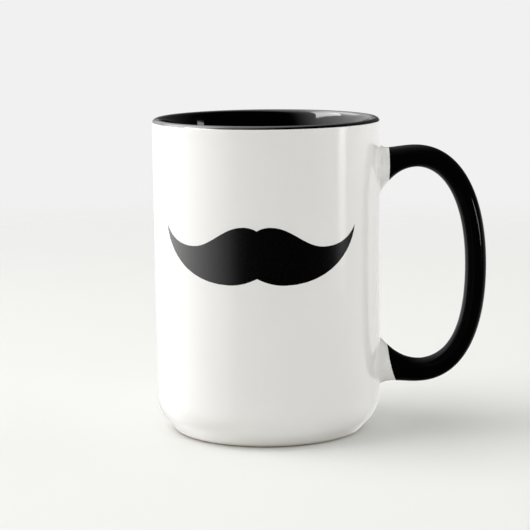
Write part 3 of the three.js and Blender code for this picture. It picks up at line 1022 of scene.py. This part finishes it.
def panel_light(name, place, facing, size, power, spread=WIDE_SPREAD):
    """A soft rectangular lamp, which the camera doesn't see."""
    lamp = bpy.data.lights.new(name, "AREA")
    lamp.shape = "RECTANGLE"
    lamp.size, lamp.size_y = size
    lamp.energy = power
    lamp.spread = math.radians(spread)
    holder = bpy.data.objects.new(name, lamp)
    bpy.context.scene.collection.objects.link(holder)
    holder.matrix_world = Matrix.Translation(place) @ facing.to_track_quat("-Z", "Y").to_matrix().to_4x4()
    holder.visible_camera = False
    return holder


def studio_light():
    """Three soft lamps light the mug; panes and a strip show in the glaze, and a glint on the handle."""
    aim = Vector((AXIS_X, 0, AIM_HEIGHT))
    lamps = (
        ("key", KEY_DIRECTION, KEY_DISTANCE, KEY_SIZE, KEY_POWER),
        ("fill", FILL_DIRECTION, FILL_DISTANCE, FILL_SIZE, FILL_POWER),
        ("front", FRONT_DIRECTION, FRONT_DISTANCE, FRONT_SIZE, FRONT_POWER),
    )
    for name, direction, distance, size, power in lamps:
        way = towards(*direction)
        panel_light(name, aim + way * distance, -way, size, power).visible_glossy = False
    pane_way = towards(*PANE_DIRECTION)
    pane_place = Vector((AXIS_X, 0, CUP_HEIGHT)) + pane_way * PANE_DISTANCE
    window_place = Vector((AXIS_X, 0, 0)) + Vector(WINDOW_PLACE)
    panes = [
        ("window", window_place, Vector((1, 0, 0)), WINDOW_SIZE, WINDOW_POWER, WINDOW_SPREAD),
        ("pane", pane_place, -pane_way, PANE_SIZE, PANE_POWER, WIDE_SPREAD),
    ]
    strip_way = towards(STRIP_DIRECTION, 0)
    for name, bottom, top, power in (
        ("strip_low", STRIP_HEIGHTS[0], STRIP_HEIGHTS[1], STRIP_POWERS[0]),
        ("strip_high", STRIP_HEIGHTS[1], STRIP_HEIGHTS[2], STRIP_POWERS[1]),
    ):
        place = Vector((AXIS_X, 0, (bottom + top) / 2)) + strip_way * STRIP_DISTANCE
        panes.append((name, place, -strip_way, (STRIP_WIDTH, top - bottom), power, WIDE_SPREAD))
    for name, place, facing, size, power, spread in panes:
        panel_light(name, place, facing, size, power, spread).visible_diffuse = False
    glint_way = towards(GLINT_DIRECTION, 0)
    glint_place = Vector((AXIS_X, 0, GLINT_HEIGHT)) + glint_way * STRIP_DISTANCE
    glint = panel_light("glint", glint_place, -glint_way, GLINT_SIZE, GLINT_POWER)
    glint.data.shape = "ELLIPSE"
    glint.visible_diffuse = False
    lit_by_glint = bpy.data.collections.new("lit_by_glint")
    lit_by_glint.objects.link(black_loop)
    glint.light_linking.receiver_collection = lit_by_glint


def studio_world():
    """Even light on matt surfaces; in the glaze, a bright sky to the left, a dim room and the table."""
    world = bpy.data.worlds.new("studio")
    world.use_nodes = True
    tree = world.node_tree
    tree.nodes.clear()
    way = add_node(tree, "ShaderNodeTexCoord", {}).outputs["Generated"]
    part = add_node(tree, "ShaderNodeSeparateXYZ", {"Vector": way}).outputs
    shares = []
    for value, (low, high) in (
        (part["Y"], BEHIND), (part["Z"], HORIZON), (part["X"], SHADOW_SIDE), (part["Z"], FAR_TABLE),
    ):
        shares.append(add_node(tree, "ShaderNodeMapRange", {
            "Value": value, "From Min": low, "From Max": high,
        }, interpolation_type="SMOOTHSTEP").outputs[0])
    behind, above_table, rightward, far = shares
    near_table = add_node(tree, "ShaderNodeMix", {0: rightward, 2: NEAR_GLOW[0], 3: NEAR_GLOW[1]})
    table = add_node(tree, "ShaderNodeMix", {0: far, 2: near_table.outputs[0], 3: TABLE_GLOW})
    glow = add_node(tree, "ShaderNodeMix", {0: above_table, 2: table.outputs[0], 3: ROOM_GLOW})
    shown = add_node(tree, "ShaderNodeMath", {0: behind, 1: glow.outputs[0]}, operation="MULTIPLY")
    nearness = add_node(tree, "ShaderNodeVectorMath", {
        0: way, 1: towards(*SKY_DIRECTION),
    }, operation="DOT_PRODUCT").outputs["Value"]
    for brightness, spread in SKY_GLOWS:
        sky = add_node(tree, "ShaderNodeMapRange", {
            "Value": nearness, "From Min": math.cos(math.radians(spread)), "To Max": brightness,
        }, interpolation_type="SMOOTHSTEP")
        shown = add_node(tree, "ShaderNodeMath", {0: shown.outputs[0], 1: sky.outputs[0]})
    fill = add_node(tree, "ShaderNodeBackground", {"Color": (1, 1, 1, 1), "Strength": ROOM_LIGHT})
    mirrored = add_node(tree, "ShaderNodeBackground", {"Color": (1, 1, 1, 1), "Strength": shown.outputs[0]})
    seen = add_node(tree, "ShaderNodeBackground", {"Color": linear(BACKGROUND_COLOUR), "Strength": 1})
    ray = add_node(tree, "ShaderNodeLightPath", {})
    room = add_node(tree, "ShaderNodeMixShader", {
        0: ray.outputs["Is Glossy Ray"], 1: fill.outputs[0], 2: mirrored.outputs[0],
    })
    mixed = add_node(tree, "ShaderNodeMixShader", {
        0: ray.outputs["Is Camera Ray"], 1: room.outputs[0], 2: seen.outputs[0],
    })
    add_node(tree, "ShaderNodeOutputWorld", {"Surface": mixed.outputs[0]})
    bpy.context.scene.world = world
    bpy.context.scene.view_settings.view_transform = "Standard"


def photo_camera():
    """Stands in front of the mug, a little above it, with a long lens."""
    lens = bpy.data.cameras.new("camera")
    lens.sensor_width = SENSOR_WIDTH
    lens.lens = SENSOR_WIDTH * FOCAL_PIXELS / IMAGE_PIXELS
    camera = bpy.data.objects.new("camera", lens)
    bpy.context.scene.collection.objects.link(camera)
    camera.matrix_world = (
        Matrix.Translation((AXIS_X, -CAMERA_DISTANCE, CAMERA_HEIGHT))
        @ Matrix.Rotation(math.radians(CAMERA_YAW), 4, "Z")
        @ Matrix.Rotation(math.radians(90 - CAMERA_PITCH), 4, "X")
        @ Matrix.Rotation(math.radians(CAMERA_ROLL), 4, "Z")
    )
    bpy.context.scene.camera = camera


photo_camera()
white = white_glaze()
black = black_glaze("black_lining_glaze", LINING_SHINE)
handle_black = black_glaze("black_handle_glaze", HANDLE_SHINE)
ink = print_ink()
clay = bare_stoneware("bare_stoneware", CLAY_TONES)
slip = bare_stoneware("fired_slip", SLIP_TONES)

white_skin, lining_skin, loop_skin = part_colours(glazed_skin(white, black), black)
white_coat = coat(white_skin, "white_coat")
black_lining = coat(lining_skin, "black_lining")
black_loop = coat(loop_skin, "black_loop")
black_loop.data.materials[0] = handle_black
pieces = {
    white_coat: ("white_glaze", ("outer_glaze", "upper_root_glaze", "lower_root_glaze")),
    black_lining: ("black_glaze", ("inner_glaze",)),
    black_loop: ("black_glaze", ("handle_glaze",)),
    cup_clay(clay): ("stoneware", ("cup_body",)),
    handle_clay(clay): ("stoneware", ("handle",)),
    slip_bed(slip, "upper_root", "upper_slip_bed"): ("slip", ("upper_slip_joint",)),
    slip_bed(slip, "lower_root", "lower_slip_bed"): ("slip", ("lower_slip_joint",)),
    underside_coat(white): ("white_glaze", ("underside_glaze",)),
    front_print(ink): ("black_glaze", ()),
}
for piece, (slot, nodes) in pieces.items():
    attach(piece, "root")
    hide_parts(*nodes)

stage_floor()
studio_light()
studio_world()
